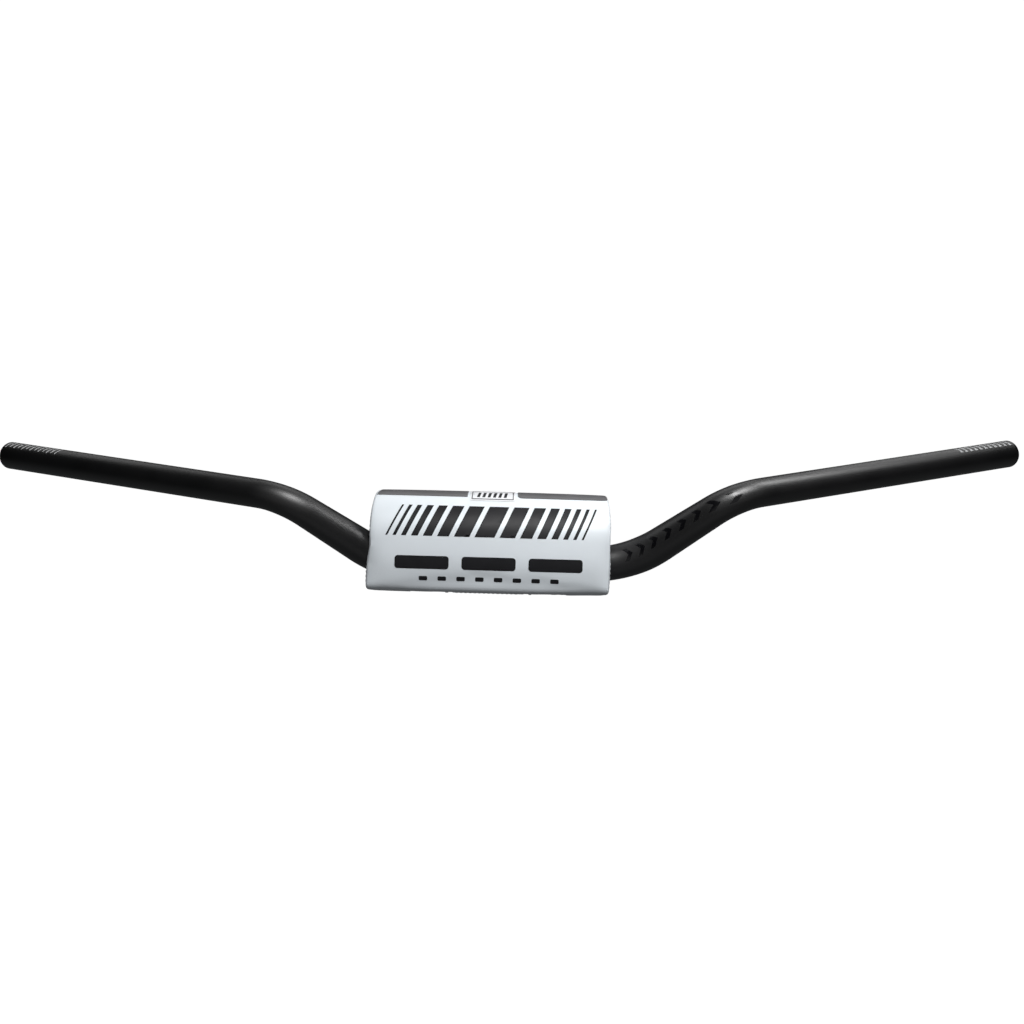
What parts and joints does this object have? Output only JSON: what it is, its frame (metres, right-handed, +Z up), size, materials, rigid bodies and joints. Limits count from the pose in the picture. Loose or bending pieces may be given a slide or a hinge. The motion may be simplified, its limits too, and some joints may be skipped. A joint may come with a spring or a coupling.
{
  "type": "motorcycle handlebar",
  "caption": "Braceless tapered handlebar with a wide rise, swept-back grip ends and a vinyl-covered foam pad over its centre.",
  "frame": {"origin": "centre of the clamp zone, on the bar's axis", "axes": "X across the bar, +Y back to the rider, +Z up"},
  "size_m": [0.8288, 0.0868, 0.1244],
  "materials": {
    "bar": "satin black anodised over a shot-peened surface",
    "foam": "closed-cell foam",
    "vinyl": "smooth white vinyl, half gloss",
    "band": "dark grey printed film",
    "badge": "white printed film",
    "tape": "hook and loop tape"
  },
  "bodies": {
    "bar": {"bar_tube": "bar"},
    "pad": {"pad_foam": "foam", "cover_wrap": "vinyl", "cover_end_left": "vinyl", "cover_end_right": "vinyl", "band_left": "band", "band_right": "band", "badge_patch": "badge", "loop_tape": "tape", "flap_seam": "vinyl"},
    "flap": {"closure_flap": "vinyl", "hook_tape": "tape"}
  },
  "joints": [
    {"name": "pad_slide", "type": "slide", "parent": "bar", "child": "pad", "axis": [1, 0, 0], "range_m": [0, 0.032]},
    {"name": "flap_open", "type": "hinge", "parent": "pad", "child": "flap", "pos_m": [-0.01711, 0.01183, -0.02771], "axis": [0.9996, -0.0118, -0.0272], "range_deg": [0, 105]}
  ]
}
